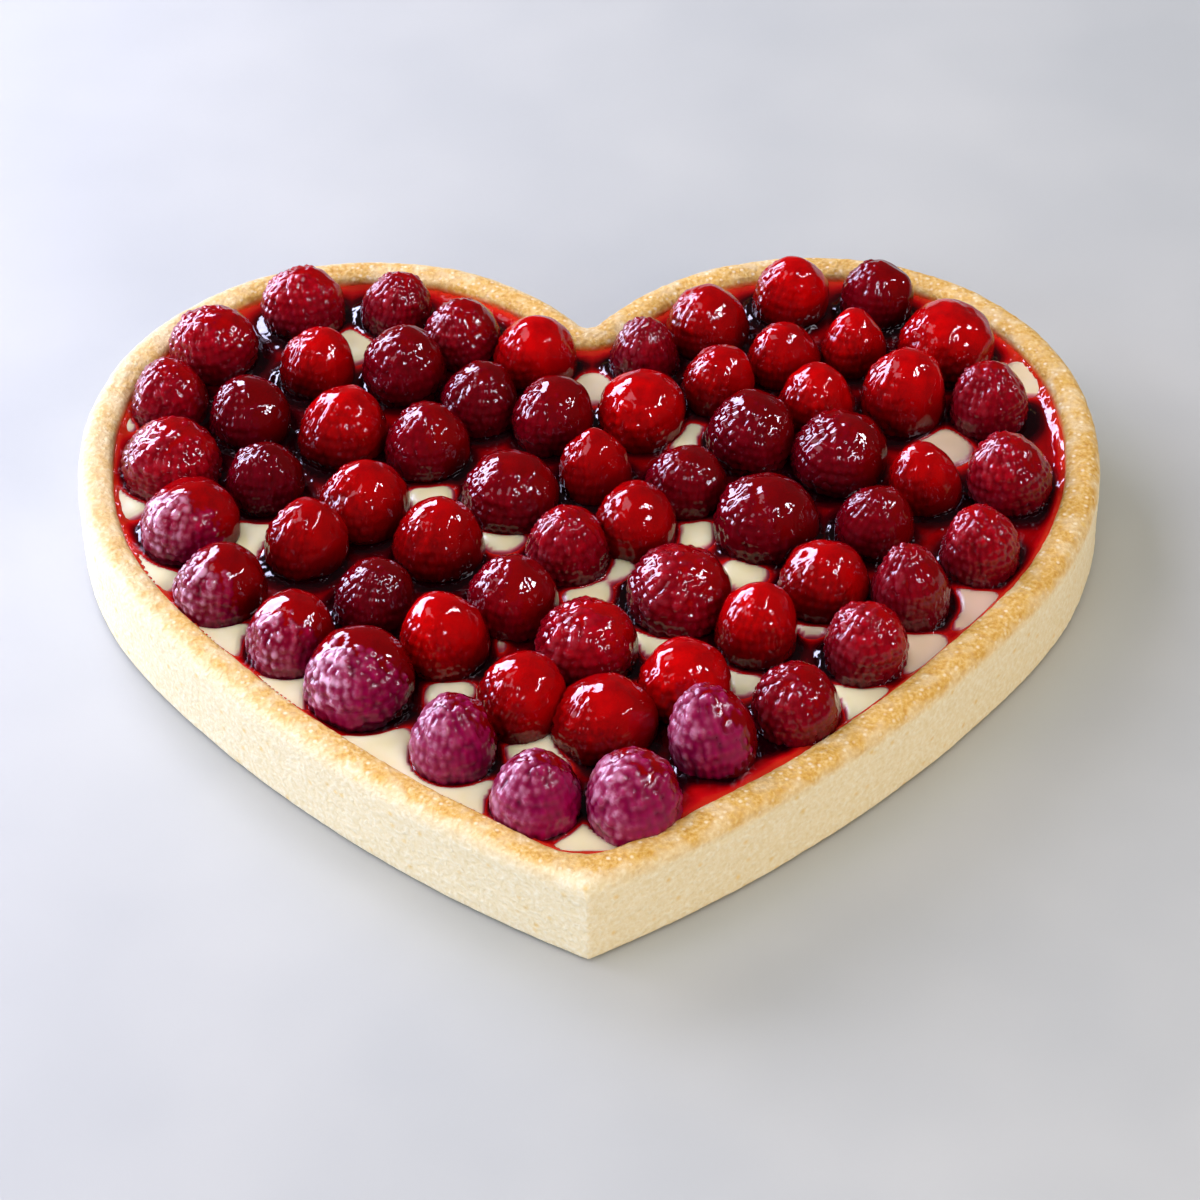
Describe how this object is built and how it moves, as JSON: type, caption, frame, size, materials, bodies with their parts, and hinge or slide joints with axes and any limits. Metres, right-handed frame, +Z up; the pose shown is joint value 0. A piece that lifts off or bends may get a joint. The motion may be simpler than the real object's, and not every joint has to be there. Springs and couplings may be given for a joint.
{
  "type": "berry tart",
  "caption": "Heart-shaped shortcrust tart filled with pastry cream and covered with glazed raspberries set in rows that follow the heart.",
  "frame": {"origin": "on the surface that the tart stands on, under the middle of its length and width", "axes": "+Z up, +X to the right across the lobes, the tip of the heart towards -Y and its notch towards +Y"},
  "size_m": [0.23, 0.2044, 0.036],
  "materials": {
    "pastry": "baked shortcrust, pale and dry, sandy grain, golden along the rim",
    "cream": "smooth set pastry cream with a soft shine",
    "berry": "raspberries, some bare and velvety, most under clear red glaze",
    "glaze": "clear red fruit glaze, wet gloss"
  },
  "bodies": {
    "root": {"pastry_case": "pastry", "pastry_cream": "cream", "berry_01": "berry", "berry_02": "berry", "berry_03": "berry", "berry_04": "berry", "berry_05": "berry", "berry_06": "berry", "berry_07": "berry", "berry_08": "berry", "berry_09": "berry", "berry_10": "berry", "berry_11": "berry", "berry_12": "berry", "berry_13": "berry", "berry_14": "berry", "berry_15": "berry", "berry_16": "berry", "berry_17": "berry", "berry_18": "berry", "berry_19": "berry", "berry_20": "berry", "berry_21": "berry", "berry_22": "berry", "berry_23": "berry", "berry_24": "berry", "berry_25": "berry", "berry_26": "berry", "berry_27": "berry", "berry_28": "berry", "berry_29": "berry", "berry_30": "berry", "berry_31": "berry", "berry_32": "berry", "berry_33": "berry", "berry_34": "berry", "berry_35": "berry", "berry_36": "berry", "berry_37": "berry", "berry_38": "berry", "berry_39": "berry", "berry_40": "berry", "berry_41": "berry", "berry_42": "berry", "berry_43": "berry", "berry_44": "berry", "berry_45": "berry", "berry_46": "berry", "berry_47": "berry", "berry_48": "berry", "berry_49": "berry", "berry_50": "berry", "berry_51": "berry", "berry_52": "berry", "berry_53": "berry", "berry_pair_1": "berry", "berry_pair_2": "berry", "berry_pair_3": "berry", "berry_pair_4": "berry", "berry_pair_5": "berry"}
  },
  "joints": []
}
